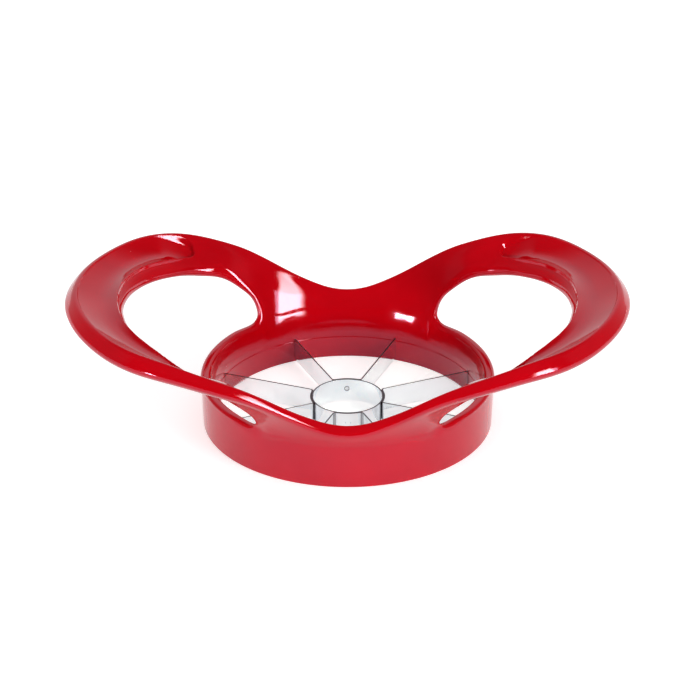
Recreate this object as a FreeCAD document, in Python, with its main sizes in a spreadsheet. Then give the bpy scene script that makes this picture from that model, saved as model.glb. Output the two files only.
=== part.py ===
"""Apple slicer and corer, pressed down by two handle loops.

One moulded frame (skirt, saddle walls, rolled rim, two handle loops) holds a set of eight steel blades
round a thin core tube. The blades are four strips of sheet steel, each bent to a U whose middle lies on the
tube. Millimetres. The origin is the middle of the ring on the table, +X runs along the handles, +Z is up.
"""
import FreeCAD, Part
import Sketcher
import math
import os

os.makedirs("parts", exist_ok=True)
doc = FreeCAD.newDocument("apple_slicer")
sheet = doc.addObject("Spreadsheet::Sheet", "sizes")

SIZES = [
    ("overall_length", 196.0),      # over both handle loops
    ("overall_height", 49.6),       # table to the crest of the handle loops
    ("skirt_diameter", 101.6),      # at the top of the skirt
    ("skirt_draft", 0.85),          # the foot stands this far inside the top
    ("skirt_height", 17.6),         # top of the skirt inside the hand openings
    ("skirt_wall", 5.2),            # from the top's outside in to the bore below the ledge
    ("ledge_height", 7.8),
    ("ledge_step", 0.15),           # the bore is this much wider above the ledge
    ("band_top", 10.0),             # the bore is straight up to here and flared above
    ("skirt_flare", 2.05),           # the bore widens by this much on each side, from the ledge to the top
    ("top_round_share", 0.45),      # share of the thickness at the top that each rounding takes
    ("foot_round", 0.4),
    ("core_diameter", 25.0),        # outside of the core tube
    ("core_wall", 0.5),
    ("core_foot", 0.8),             # cutting edges stand this far above the table
    ("blade_top", 8.8),
    ("blade_thickness", 0.5),
    ("blade_embed", 3.0),           # how far a blade end runs into the plastic
    ("grind_height", 1.2),          # height of the ground cutting edge
    ("grind_land", 0.1),            # thickness left at the cutting edge
    ("blade_turn", 1.0),            # degrees that the blade set is turned in the frame
    ("bend_radius", 0.7),           # inside radius of the bend between the saddle and a blade
    ("anchor_hole", 1.6),           # two holes in each blade end, filled by the plastic
    ("weld_diameter", 2.4),
    ("weld_height", 5.2),
    ("weld_dimple", 0.12),
    ("palm_depth", 2.2),            # depth of the palm recess in a handle loop
    ("shelf_step", 1.4),            # from the lip of the recess down to the shelf beside the opening
]
for row, (name, value) in enumerate(SIZES, start=1):
    sheet.set(f"A{row}", name)
    sheet.set(f"B{row}", str(value))
    sheet.setAlias(f"B{row}", name)
doc.recompute()


def size(name):
    return float(sheet.get(name))


def bind(obj, **expressions):
    """Tie properties of an object to the sheet; bare size names are looked up there."""
    for prop, text in expressions.items():
        for name, _ in SIZES:
            text = text.replace(f"<{name}>", f"sizes.{name}")
        obj.setExpression(prop.replace("__", "."), text)
    return obj


# ---------------------------------------------------------------- frame moulding
# The rim, the handle loops and the front and back walls are one closed loop of sections. Each station gives
# three points of its section, for one quarter of the loop from the end of a handle to the middle of the
# back wall: the crest of the rim, and the upper and lower edge of the hand opening. From station 10 on, the
# lower end of the section is sunk in the wall of the skirt. The lists below count the same stations from 0.
NOMINAL = {"half_length": 98.0, "height": 49.6, "radius": 50.8, "skirt": 17.6}
STATIONS = [
    # crest             opening, upper edge   opening, lower edge
    ((94.2, 0.0, 49.8), (77.4, 0.0, 47.2), (77.4, 0.0, 39.5)),
    ((92.6, 12.0, 49.7), (76.6, 7.5, 47.1), (76.6, 7.5, 39.4)),
    ((88.3, 23.5, 49.3), (74.3, 15.6, 46.6), (74.3, 15.6, 38.8)),
    ((80.8, 35.2, 48.8), (69.8, 24.0, 45.6), (69.8, 24.0, 37.9)),
    ((71.5, 44.0, 48.5), (63.6, 31.5, 44.0), (63.6, 31.2, 36.7)),
    ((61.5, 48.9, 47.4), (56.6, 37.8, 41.4), (56.6, 37.2, 34.8)),
    ((52.5, 51.4, 45.2), (49.6, 40.8, 38.5), (49.8, 41.0, 32.8)),
    ((44.5, 52.4, 42.6), (42.6, 41.4, 35.2), (43.0, 43.0, 30.8)),
    ((37.0, 52.6, 39.9), (36.0, 40.6, 30.6), (37.2, 43.2, 27.0)),
    ((30.5, 52.2, 36.9), (30.8, 38.9, 24.4), (32.5, 42.0, 22.2)),
    ((24.5, 51.6, 33.7), (29.2, 37.6, 17.2), (31.8, 38.2, 16.0)),
    ((18.5, 50.9, 30.5), (26.0, 39.7, 10.5), (28.8, 40.3, 10.0)),
    ((12.3, 50.3, 27.6), (18.5, 43.4, 9.5), (19.2, 45.5, 9.0)),
    ((6.2, 49.9, 25.4), (9.6, 46.2, 9.5), (10.0, 48.3, 9.0)),
    ((0.0, 49.8, 24.6), (0.0, 47.2, 9.5), (0.0, 49.3, 9.0)),
]
RIM_OUT = [3.8, 3.8, 3.8, 3.8, 3.8, 3.5, 3.2, 2.9, 2.6, 2.4, 2.4, 2.6, 3.0, 3.4, 3.6]
RIM_DOWN = [4.8, 4.8, 4.8, 4.8, 4.8, 4.5, 4.0, 3.7, 3.5, 3.4, 3.3, 3.1, 2.9, 2.7, 2.6]
RIM_BACK = [0.6] * 8 + [0.65, 0.7, 0.6, 0.35, 0.2, 0.12, 0.12]     # its underside goes back by this share
EDGE_ROLL = [1.9] * 9 + [1.5, 0.8, 0.0, 0.0, 0.0, 0.0]      # width of the rolled edges of the opening
BOWL_SHARE = {10: 1.0, 11: 0.93, 12: 0.85, 13: 0.76, 14: 0.72}      # the bowl opens less in the low walls
SWEEP = {10: 0.0, 11: 1.1, 12: 1.6, 13: 2.0, 14: 2.1}       # the sweep starts this far below the skirt's top
SWEEP_BEND = {10: 1.15, 11: 1.3, 12: 1.5, 13: 1.7, 14: 1.7}     # how late it sweeps out
FLARE_CURVE = 0.45   # the flare opens faster towards the top: 0 would be straight
FIRST_BOWL = 7      # first station whose inner side follows the bowl
FIRST_SUNK = 10     # first station whose lower end is sunk in the skirt
PROUD = 0.07        # the walls stand this little out of the skirt, inside and outside
BORE_R = "(<skirt_diameter> / 2 - <skirt_wall>)"    # inside of the skirt below the ledge


def to_size(x, y, z):
    """Move a point of the nominal moulding to the sizes of the sheet."""
    grow = size("skirt_diameter") / 2 / NOMINAL["radius"]
    reach = size("overall_length") / 2 - NOMINAL["half_length"] * grow
    part_way = min(1.0, max(0.0, (abs(x) - 34.0) / 60.0))
    ease = part_way * part_way * (3 - 2 * part_way)
    skirt, rise = size("skirt_height"), size("overall_height") - size("skirt_height")
    if z > NOMINAL["skirt"]:
        height = skirt + (z - NOMINAL["skirt"]) * rise / (NOMINAL["height"] - NOMINAL["skirt"])
    else:
        height = z * skirt / NOMINAL["skirt"]
    return FreeCAD.Vector(x * grow + reach * ease, y * grow, height)


def quarter_to_loop(points):
    """Mirror the stations of one quarter round the whole loop."""
    inner = points[1:-1]
    flip = lambda p, sx, sy: FreeCAD.Vector(p.x * sx, p.y * sy, p.z)
    loop = list(points) + [flip(p, -1, 1) for p in reversed(points[:-1])]
    loop += [flip(p, -1, -1) for p in inner + [points[-1]]]
    return loop + [flip(p, 1, -1) for p in reversed(inner)]


def through(points, rounds=40):
    """Control points of a closed cubic spline that runs through the given points."""
    poles = list(points)
    count = len(points)
    for _ in range(rounds):
        curve = [(poles[i - 1] + poles[i] * 4 + poles[(i + 1) % count]) * (1 / 6) for i in range(count)]
        poles = [p + q - c for p, q, c in zip(poles, points, curve)]
    return poles


def at_radius(point, radius):
    """The point at the same angle and height, moved to a distance from the Z axis."""
    share = radius / math.hypot(point.x, point.y)
    return FreeCAD.Vector(point.x * share, point.y * share, point.z)


def bowl_radius(z, share):
    """Inner side of the saddle walls: the flare of the skirt, opening like a bowl above it."""
    band, top = size("band_top"), size("skirt_height")
    straight = size("skirt_diameter") / 2 - size("skirt_wall") + size("ledge_step")
    full = size("skirt_flare") - size("ledge_step")
    at = min(1.0, max(0.0, z - band) / (top - band))
    rise = max(0.0, z - top)
    flare = full * at * (1 + FLARE_CURVE * at) / (1 + FLARE_CURVE)
    return straight + (flare + 0.36 * rise + 0.0165 * rise * rise) * share - 2 * PROUD


def outer_radius(z, under, sweep, bend):
    """Outer side of the saddle walls: flush with the skirt, then swept out to the underside of the rim."""
    top = size("skirt_height")
    side = size("skirt_diameter") / 2 - size("skirt_draft") * max(0.0, 1 - z / top) + PROUD
    share = max(0.0, (z - top + sweep) / (under.z - top + sweep))
    return side + (math.hypot(under.x, under.y) - side) * share ** bend


def section_rows():
    """The closed section of each station as a row of control points, from the opening edge over the top."""
    up = FreeCAD.Vector(0, 0, 1)
    crest, upper, lower = ([to_size(*s[i]) for s in STATIONS] for i in range(3))
    loop = quarter_to_loop(crest)
    rows = []
    for k in range(len(STATIONS)):
        run = loop[k + 1] - loop[k - 1]
        out = FreeCAD.Vector(run.y, -run.x, 0)
        out.normalize()
        c, t, b = crest[k], upper[k], lower[k]
        edge = c + out * RIM_OUT[k] - up * RIM_DOWN[k]
        under = edge - out * (RIM_OUT[k] * RIM_BACK[k]) - up * (RIM_DOWN[k] * 0.55)
        share = BOWL_SHARE.get(k, 1.0)
        into = FreeCAD.Vector(c.x - t.x, c.y - t.y, c.z - t.z if k >= FIRST_BOWL else 0)
        into.multiply(EDGE_ROLL[k] / into.Length)
        edges = [t + (b - t) * 0.3 - into * 0.2, b + (t - b) * 0.3 - into * 0.2]
        t, b = t + into, b + into
        inside = [t + (c - t) * along for along in (0.13, 0.38, 0.66)]
        outside = [under + (b - under) * along for along in (0.2, 0.5, 0.8)]
        if k >= FIRST_BOWL:
            inside = [at_radius(p, bowl_radius(p.z, share)) for p in inside]
        if FIRST_BOWL <= k <= FIRST_SUNK:
            t = at_radius(t, bowl_radius(t.z, share))
        if k >= FIRST_SUNK:
            outside = [at_radius(p, outer_radius(p.z, under, SWEEP[k], SWEEP_BEND[k])) for p in outside]
        rim = [c + (t - c) * 0.12, c, c + (edge - c) * 0.5, edge, under]
        rows.append([edges[0], t] + inside + rim + outside + [b, edges[1]])
    return rows


def loop_skin():
    """The smooth skin of rim, handle loops and saddle walls: U runs round the loop, V round the section."""
    rows = section_rows()
    rails = [through(quarter_to_loop([row[j] for row in rows])) for j in range(len(rows[0]))]
    rails = rails[-1:] + rails[:-1]     # so that the parameters of the skin count stations and rails
    poles = [list(column) for column in zip(*rails)]
    poles = poles[-1:] + poles[:-1]
    around, section = len(poles), len(poles[0])
    skin = Part.BSplineSurface()
    skin.buildFromPolesMultsKnots(poles, [1] * (around + 1), [1] * (section + 1), list(range(around + 1)),
                                  list(range(section + 1)), True, True, 3, 3)
    return skin


def loop_solid():
    """Rim, handle loops and saddle walls as one solid."""
    solid = Part.Solid(Part.Shell([loop_skin().toShape()]))
    return solid if solid.Volume > 0 else solid.reversed()


PALM_OUTLINE = [
    # station, then the section parameters of the inner and the outer lip of the palm recess
    (0.0, 1.0, 5.35), (1.2, 1.1, 5.35), (2.4, 1.25, 5.35), (3.5, 1.25, 5.35), (4.4, 1.26, 5.34),
    (5.0, 1.42, 5.18), (5.35, 1.71, 4.88), (5.6, 2.16, 4.44), (5.7, 2.54, 4.06),
]
PALM_ACROSS = [(0.0, 0.05), (0.2, 0.62), (0.5, 0.88), (0.8, 0.52), (1.0, 0.13)]     # share of width, of depth
SHELF_LIPS = [(s, low - 0.1) for s, low, _ in PALM_OUTLINE if s < 5.0] + [(5.0, 1.25), (5.4, 1.25)]
SHELF_FADE = (5.75, 1.6)        # the step is gone at this station, and whole this many stations before it
SHELF_MIDDLE, SHELF_FACE = 0.6, 0.25        # section parameters across the shelf, to the face of the opening
ABOVE = 12.0                    # the cutters reach this far above their floor


def mirrored(stations):
    """The stations of half a handle, led on over its middle to the other half."""
    return [(-s, *rest) for s, *rest in stations[:0:-1]] + stations


def space_over(rows, height):
    """A solid that stands on the smooth surface through the given rows of points."""
    floor = Part.BSplineSurface()
    floor.interpolate(rows)
    return floor.toShape().extrude(FreeCAD.Vector(0, 0, height))


def palm_cutter(side):
    """What the palm recess takes away: the space over a hollow floor with a rounded outline."""
    skin, around, depth = loop_skin(), 4 * (len(STATIONS) - 1), size("palm_depth")
    rows = []
    for station, low, high in mirrored(PALM_OUTLINE):
        row = []
        for share, deep in PALM_ACROSS:
            point = skin.value(station % around, low + (high - low) * share)
            row.append(FreeCAD.Vector(point.x * side, point.y, point.z - depth * deep))
        rows.append(row)
    return space_over(rows, ABOVE)


def shelf_cutter(side):
    """What is taken away between the inner lip of the recess and the opening, so that the lip stands over a
    narrow shelf; the step gets lower towards the ends of the recess."""
    skin, around, step = loop_skin(), 4 * (len(STATIONS) - 1), size("shelf_step")
    end, fade = SHELF_FADE
    rows = []
    for station, top in mirrored(SHELF_LIPS):
        at = min(1.0, (end - abs(station)) / fade)
        drop = FreeCAD.Vector(0, 0, -step * at * at * (3 - 2 * at))
        lip, middle, face = (skin.value(station % around, v) + drop for v in (top, SHELF_MIDDLE, SHELF_FACE))
        away = FreeCAD.Vector(face.x - lip.x, face.y - lip.y, 0)
        away.normalize()
        rows.append([FreeCAD.Vector(p.x * side, p.y, p.z) for p in (lip, middle, face + away * 2)])
    return space_over(rows, ABOVE / 2)


def frame_moulding(blade_strips):
    """Skirt, loop and their union, less the palm recesses and the room taken by the blade ends."""
    skirt = skirt_body()
    loop = doc.addObject("Part::Feature", "loop_and_walls")
    loop.Shape = loop_solid()
    whole = doc.addObject("Part::MultiFuse", "skirt_and_loop")
    whole.Shapes = [skirt, loop]
    spaces = []
    for side, name in ((1, "right"), (-1, "left")):
        for cutter, kind in ((palm_cutter, "palm_"), (shelf_cutter, "shelf_")):
            space = doc.addObject("Part::Feature", kind + name)
            space.Shape = cutter(side)
            spaces.append(space)
    tools = doc.addObject("Part::Compound", "room_in_frame")
    tools.Links = spaces + blade_strips
    frame = doc.addObject("Part::Cut", "frame_moulding")
    frame.Base, frame.Tool = whole, tools
    return frame


def turned_body(name, corners, named):
    """A body turned about Z from a closed outline in the XZ plane.

    named holds (constraint name, corner index, axis, expression): axis 0 is the distance from Z, 1 the
    height."""
    body = doc.addObject("PartDesign::Body", name + "_body")
    sketch = body.newObject("Sketcher::SketchObject", name + "_outline")
    sketch.AttachmentSupport = (body.Origin.OriginFeatures[4], [""])
    sketch.MapMode = "FlatFace"
    count = len(corners)
    for i in range(count):
        a, b = corners[i], corners[(i + 1) % count]
        sketch.addGeometry(Part.LineSegment(FreeCAD.Vector(*a, 0), FreeCAD.Vector(*b, 0)), False)
    for i in range(count):
        sketch.addConstraint(Sketcher.Constraint("Coincident", i, 2, (i + 1) % count, 1))
    for label, corner, axis, text in named:
        kind = "DistanceX" if axis == 0 else "DistanceY"
        at = sketch.addConstraint(Sketcher.Constraint(kind, -1, 1, corner, 1, corners[corner][axis]))
        sketch.renameConstraint(at, label)
        bind(sketch, **{"Constraints__" + label: text})
    doc.recompute()
    turn = body.newObject("PartDesign::Revolution", name + "_turned")
    turn.Profile = sketch
    turn.ReferenceAxis = (sketch, ["V_Axis"])
    turn.Angle = 360
    doc.recompute()
    return body, turn


def skirt_body():
    """The ring that stands on the table: straight bore up to the ledge, flared above it."""
    outer, top, ledge = size("skirt_diameter") / 2, size("skirt_height"), size("ledge_height")
    foot, bore = outer - size("skirt_draft"), outer - size("skirt_wall")
    flared, straight = bore + size("skirt_flare"), bore + size("ledge_step")
    band = size("band_top")
    corners = [(bore, 0), (foot, 0), (outer, top), (flared, top), (straight, band), (straight, ledge),
               (bore, ledge)]
    body, turn = turned_body("skirt", corners, [
        ("foot_in", 0, 0, BORE_R), ("foot_in_z", 0, 1, "0"),
        ("foot_out", 1, 0, "<skirt_diameter> / 2 - <skirt_draft>"), ("foot_out_z", 1, 1, "0"),
        ("top_out", 2, 0, "<skirt_diameter> / 2"), ("top_out_z", 2, 1, "<skirt_height>"),
        ("top_in", 3, 0, f"{BORE_R} + <skirt_flare>"), ("top_in_z", 3, 1, "<skirt_height>"),
        ("band_in", 4, 0, f"{BORE_R} + <ledge_step>"), ("band_z", 4, 1, "<band_top>"),
        ("ledge_out", 5, 0, f"{BORE_R} + <ledge_step>"), ("ledge_out_z", 5, 1, "<ledge_height>"),
        ("ledge_in", 6, 0, BORE_R), ("ledge_in_z", 6, 1, "<ledge_height>")])
    top_round = "(<skirt_wall> - <skirt_flare>) * <top_round_share>"
    for name, height, radius in (("top_round", top, top_round), ("foot_round", 0.0, "<foot_round>")):
        before = body.Tip
        picked = [f"Edge{i}" for i, e in enumerate(before.Shape.Edges, start=1)
                  if abs(e.BoundBox.ZMin - height) < 1e-6 and abs(e.BoundBox.ZMax - height) < 1e-6]
        fillet = body.newObject("PartDesign::Fillet", "skirt_" + name)
        fillet.Base = (before, picked)
        bind(fillet, Radius=radius)
        body.Tip = fillet
        doc.recompute()
    return body


# ---------------------------------------------------------------- steel
def tube(name, inner, outer, bottom, height, start=None, sweep=None, centre=None):
    """A tube, or a sector of one, as a cylinder less a smaller one. Sizes are expressions."""
    pair = []
    for part, radius in (("_outer", outer), ("_inner", inner)):
        cylinder = doc.addObject("Part::Cylinder", name + part)
        bind(cylinder, Radius=radius, Height=height, Placement__Base__z=bottom)
        if sweep:
            bind(cylinder, Angle=sweep)
        pair.append(cylinder)
    ring = doc.addObject("Part::Cut", name)
    ring.Base, ring.Tool = pair
    if centre:
        bind(ring, Placement__Base__x=centre[0], Placement__Base__y=centre[1])
    if start:
        ring.Placement.Rotation = FreeCAD.Rotation(FreeCAD.Vector(0, 0, 1), 1)
        bind(ring, Placement__Rotation__Angle=start)
    return ring


def weld_pin(name, inner, outer):
    """A round pin across the tube wall and a saddle, on the +X side. inner and outer are expressions."""
    pin = doc.addObject("Part::Cylinder", name)
    pin.Placement.Rotation = FreeCAD.Rotation(FreeCAD.Vector(0, 1, 0), 90)
    return bind(pin, Radius="<weld_diameter> / 2", Height=f"({outer}) - ({inner})",
                Placement__Base__x=inner, Placement__Base__z="<weld_height>")


CORE_R = "<core_diameter> / 2"
OUTER_R = "(<core_diameter> / 2 + <blade_thickness>)"
BEND_AT = "(<core_diameter> / 2 + <blade_thickness> + <bend_radius>)"
BEND_OFF = "(<blade_thickness> / 2 + <bend_radius>)"
LOW = "(<core_foot> + <grind_height>)"
HALF_STEP = 22.5      # eight blades stand evenly round the core


def blade_wing(name, sign):
    """One straight blade along the ray at 22.5 degrees: flat strip, ground edge and anchor holes."""
    start = f"({BEND_AT} * cos(asin({BEND_OFF} / {BEND_AT})))"
    reach = f"({BORE_R} + <blade_embed> - {start})"
    flat = doc.addObject("Part::Box", name + "_flat")
    bind(flat, Length=reach, Width="<blade_thickness>", Height=f"<blade_top> - {LOW}",
         Placement__Base__x=start, Placement__Base__y="-<blade_thickness> / 2", Placement__Base__z=LOW)
    ground = doc.addObject("Part::Wedge", name + "_ground")
    ground.Placement.Rotation = FreeCAD.Rotation(FreeCAD.Vector(1, 0, 0), -90)
    bind(ground, Xmin="0", Xmax=reach, X2min="0", X2max=reach, Ymin="0", Ymax="<grind_height>",
         Zmin="-<blade_thickness> / 2", Zmax="<blade_thickness> / 2", Z2min="-<grind_land> / 2",
         Z2max="<grind_land> / 2", Placement__Base__x=start, Placement__Base__z=LOW)
    blade = doc.addObject("Part::MultiFuse", name + "_blade")
    blade.Shapes = [flat, ground]
    holes = []
    for number, share in enumerate((0.3, 0.75)):
        hole = doc.addObject("Part::Cylinder", f"{name}_anchor_{number}")
        hole.Placement.Rotation = FreeCAD.Rotation(FreeCAD.Vector(1, 0, 0), 90)
        bind(hole, Radius="<anchor_hole> / 2", Height="<blade_thickness> * 4",
             Placement__Base__x=f"{BORE_R} + <blade_embed> / 2", Placement__Base__y="<blade_thickness> * 2",
             Placement__Base__z=f"<core_foot> + (<blade_top> - <core_foot>) * {share}")
        holes.append(hole)
    anchors = doc.addObject("Part::Compound", name + "_anchors")
    anchors.Links = holes
    wing = doc.addObject("Part::Cut", name)
    wing.Base, wing.Tool = blade, anchors
    wing.Placement.Rotation = FreeCAD.Rotation(FreeCAD.Vector(0, 0, 1), sign * HALF_STEP)
    return wing


def blade_strip(name, angle):
    """One strip of sheet steel: a saddle on the core tube, two bends and two blades."""
    height = f"<blade_top> - {LOW}"
    lean = f"asin({BEND_OFF} / {BEND_AT})"
    centre = f"({HALF_STEP} deg - {lean})"
    saddle = tube(name + "_saddle", CORE_R, OUTER_R, LOW, height, start=f"-{centre}", sweep=f"2 * {centre}")
    pieces = [saddle]
    for sign, tag in ((1, "_plus"), (-1, "_minus")):
        first = f"{HALF_STEP} deg + 90 deg" if sign > 0 else f"180 deg - {centre}"
        middle = (f"{BEND_AT} * cos({centre})", f"{sign} * {BEND_AT} * sin({centre})")
        pieces.append(tube(name + "_bend" + tag, "<bend_radius>", "<bend_radius> + <blade_thickness>", LOW,
                           height, start=first, sweep=f"90 deg - {lean}", centre=middle))
        pieces.append(blade_wing(name + "_wing" + tag, sign))
    bent = doc.addObject("Part::MultiFuse", name + "_bent")
    bent.Shapes = pieces
    bent.Refine = True
    strip = doc.addObject("Part::Cut", name)
    strip.Base, strip.Tool = bent, weld_pin(name + "_weld_hole", f"{CORE_R} - 1", f"{OUTER_R} + 1")
    strip.Placement.Rotation = FreeCAD.Rotation(FreeCAD.Vector(0, 0, 1), 1)
    return bind(strip, Placement__Rotation__Angle=f"{angle} deg + <blade_turn> * 1 deg")


SIDES = [("right", 0), ("back", 90), ("left", 180), ("front", 270)]


def weld_set(name, inner, outer):
    """The four weld pins round the core, as separate solids."""
    pins = []
    for side, angle in SIDES:
        pin = weld_pin(f"{name}_{side}_pin", inner, outer)
        turned = doc.addObject("Part::Compound", f"{name}_{side}")
        turned.Links = [pin]
        turned.Placement.Rotation = FreeCAD.Rotation(FreeCAD.Vector(0, 0, 1), 1)
        pins.append(bind(turned, Placement__Rotation__Angle=f"{angle} deg + <blade_turn> * 1 deg"))
    group = doc.addObject("Part::Compound", name)
    group.Links = pins
    return group


def core_tube():
    """The core cutter: a thin tube with its lower edge ground sharp, welded through at four places."""
    outer, wall = size("core_diameter") / 2, size("core_wall")
    foot, top = size("core_foot"), size("blade_top")
    corners = [(outer - wall, foot), (outer, foot + size("grind_height")), (outer, top), (outer - wall, top)]
    body, _ = turned_body("core", corners, [
        ("edge", 0, 0, "<core_diameter> / 2 - <core_wall>"), ("edge_z", 0, 1, "<core_foot>"),
        ("side", 1, 0, CORE_R), ("side_z", 1, 1, "<core_foot> + <grind_height>"),
        ("rim_out", 2, 0, CORE_R), ("rim_out_z", 2, 1, "<blade_top>"),
        ("rim_in", 3, 0, "<core_diameter> / 2 - <core_wall>"), ("rim_in_z", 3, 1, "<blade_top>")])
    core = doc.addObject("Part::Cut", "core_tube")
    core.Base, core.Tool = body, weld_set("core_weld_holes", f"{CORE_R} - 2", f"{CORE_R} + 2")
    return core


# ---------------------------------------------------------------- assembly
def main():
    strips = [blade_strip(f"blade_strip_{side}", angle) for side, angle in SIDES]
    core = core_tube()
    welds = weld_set("spot_welds", f"{CORE_R} - <core_wall> + <weld_dimple>", f"{OUTER_R} - <weld_dimple>")
    doc.recompute()
    frame = frame_moulding(strips)
    doc.recompute()
    for obj in doc.Objects:
        if {"Invalid", "Error"} & set(obj.State):
            raise RuntimeError(f"{obj.Name} is {obj.State}")
    for node in [frame, core, welds] + strips:
        node.Label = node.Name
        if node.Shape.isNull() or not node.Shape.isValid() or not node.Shape.Solids:
            raise RuntimeError(f"{node.Name} has no valid shape")
        node.Shape.exportStep(f"parts/{node.Name}.step")
        print(node.Name, len(node.Shape.Solids), round(node.Shape.Volume, 1))


main()
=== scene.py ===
"""Apple slicer and corer: looks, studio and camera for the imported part, in the frame of the CAD.

Blender's objects are in metres. The sizes of the moulding and of the steel are given in millimetres."""

import math

import bmesh
import bpy
import numpy as np
from mathutils import Matrix, Vector

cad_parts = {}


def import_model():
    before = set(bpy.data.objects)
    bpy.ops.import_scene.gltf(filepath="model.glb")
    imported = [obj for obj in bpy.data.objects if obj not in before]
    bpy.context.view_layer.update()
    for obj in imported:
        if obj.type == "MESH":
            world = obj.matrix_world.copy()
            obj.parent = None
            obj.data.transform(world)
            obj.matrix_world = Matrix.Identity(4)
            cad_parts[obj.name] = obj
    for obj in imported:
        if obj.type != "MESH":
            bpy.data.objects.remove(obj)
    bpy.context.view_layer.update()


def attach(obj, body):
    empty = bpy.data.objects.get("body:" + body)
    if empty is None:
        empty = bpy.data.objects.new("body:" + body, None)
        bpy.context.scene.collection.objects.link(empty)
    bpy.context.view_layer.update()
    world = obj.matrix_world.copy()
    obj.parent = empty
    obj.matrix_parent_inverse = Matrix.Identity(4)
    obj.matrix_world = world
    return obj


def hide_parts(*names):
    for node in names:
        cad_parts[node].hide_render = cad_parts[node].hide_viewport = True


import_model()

MM = 0.001


def smooth(t):
    """A soft step from 0 to 1."""
    t = np.clip(t, 0, 1)
    return t * t * (3 - 2 * t)


def nearest(points, others):
    """Distance from each point to the nearest of the others."""
    return np.sqrt(((points[:, None] - others[None]) ** 2).sum(-1).min(1))


# ---------------------------------------------------------------- sizes of the moulding, in millimetres
SKIRT_TOP = 17.6
TOP_RADIUS = 50.8           # outside of the skirt at its top
FOOT_RADIUS = 49.95         # and at its foot
BORE_RADIUS = 45.6          # below the ledge
BAND_RADIUS = 45.75         # between the ledge and the flare
FLARE_RADIUS = 47.65        # inside of the skirt at its top
FLARE_CURVE = 0.45          # the flare opens faster towards the top: 0 would be straight
BOWL_SLOPE, BOWL_BEND = 0.36, 0.0165    # above the skirt the inside of the walls opens on like a bowl
LEDGE = 7.8
BAND_TOP = 10.0             # the flare starts here
TOP_ROUND = 1.3
FOOT_ROUND = 0.4
PALM_DEPTH = 2.2
# One quarter of the closed loop of rim, handle loops and saddle walls, from the end of a handle to the middle
# of the back wall: crest of the rim, upper edge and lower edge of the hand opening.
STATIONS = [
    ((94.2, 0.0, 49.8), (77.4, 0.0, 47.2), (77.4, 0.0, 39.5)),
    ((92.6, 12.0, 49.7), (76.6, 7.5, 47.1), (76.6, 7.5, 39.4)),
    ((88.3, 23.5, 49.3), (74.3, 15.6, 46.6), (74.3, 15.6, 38.8)),
    ((80.8, 35.2, 48.8), (69.8, 24.0, 45.6), (69.8, 24.0, 37.9)),
    ((71.5, 44.0, 48.5), (63.6, 31.5, 44.0), (63.6, 31.2, 36.7)),
    ((61.5, 48.9, 47.4), (56.6, 37.8, 41.4), (56.6, 37.2, 34.8)),
    ((52.5, 51.4, 45.2), (49.6, 40.8, 38.5), (49.8, 41.0, 32.8)),
    ((44.5, 52.4, 42.6), (42.6, 41.4, 35.2), (43.0, 43.0, 30.8)),
    ((37.0, 52.6, 39.9), (36.0, 40.6, 30.6), (37.2, 43.2, 27.0)),
    ((30.5, 52.2, 36.9), (30.8, 38.9, 24.4), (32.5, 42.0, 22.2)),
    ((24.5, 51.6, 33.7), (29.2, 37.6, 17.2), (31.8, 38.2, 16.0)),
    ((18.5, 50.9, 30.5), (26.0, 39.7, 10.5), (28.8, 40.3, 10.0)),
    ((12.3, 50.3, 27.6), (18.5, 43.4, 9.5), (19.2, 45.5, 9.0)),
    ((6.2, 49.9, 25.4), (9.6, 46.2, 9.5), (10.0, 48.3, 9.0)),
    ((0.0, 49.8, 24.6), (0.0, 47.2, 9.5), (0.0, 49.3, 9.0)),
]
RIM_OUT = [3.8, 3.8, 3.8, 3.8, 3.8, 3.5, 3.2, 2.9, 2.6, 2.4, 2.4, 2.6, 3.0, 3.4, 3.6]
RIM_DOWN = [4.8, 4.8, 4.8, 4.8, 4.8, 4.5, 4.0, 3.7, 3.5, 3.4, 3.3, 3.1, 2.9, 2.7, 2.6]
RIM_BACK = [0.6] * 8 + [0.65, 0.7, 0.6, 0.35, 0.2, 0.12, 0.12]  # its underside goes back by this share
RIM_UNDER = 0.55            # and lies lower than the edge by this share of RIM_DOWN
SWEEP_FROM = {10: 17.6, 11: 16.5, 12: 16.0, 13: 15.6, 14: 15.5}     # the walls sweep out above this height
SWEEP_BEND = {10: 1.15, 11: 1.3, 12: 1.5, 13: 1.7, 14: 1.7}         # how late they sweep out
EDGE_ROLL = [1.9] * 9 + [1.5, 0.8, 0.0, 0.0, 0.0, 0.0]      # width of the rolled edges of the opening
BOWL_SHARE = {10: 1.0, 11: 0.93, 12: 0.85, 13: 0.76, 14: 0.72}      # the bowl opens less in the low walls
# Control points of a section, as shares of the way between its corners.
INSIDE_SHARES = (0.13, 0.38, 0.66)      # from the opening's upper edge to the crest
OUTSIDE_SHARES = (0.2, 0.5, 0.8)        # from the underside of the rim to the opening's lower edge
CREST_SHARE = 0.12                      # from the crest back to the opening's upper edge
FACE_SHARE = 0.3                        # from one edge of the opening to the other
FACE_BULGE = 0.2                        # share of the rolled edge that the opening's face bulges by
LAST = len(STATIONS) - 1    # station at the middle of the back wall
AROUND = 4 * LAST           # stations round the whole loop
FIRST_BOWL = 7              # first station whose inner side follows the bowl
FIRST_SUNK = 10             # first station whose lower end is sunk in the skirt


# ---------------------------------------------------------------- the skin of the loop, as a closed spline
def four_quarters(quarter):
    """Mirror the stations of one quarter round the whole loop."""
    back_left = (quarter * [-1, 1, 1])[::-1][:-1]
    front_left = (quarter * [-1, -1, 1])[:-1]
    front_right = (quarter * [1, -1, 1])[::-1][:-1]
    return np.concatenate([quarter[:-1], back_left, front_left, front_right])


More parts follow.
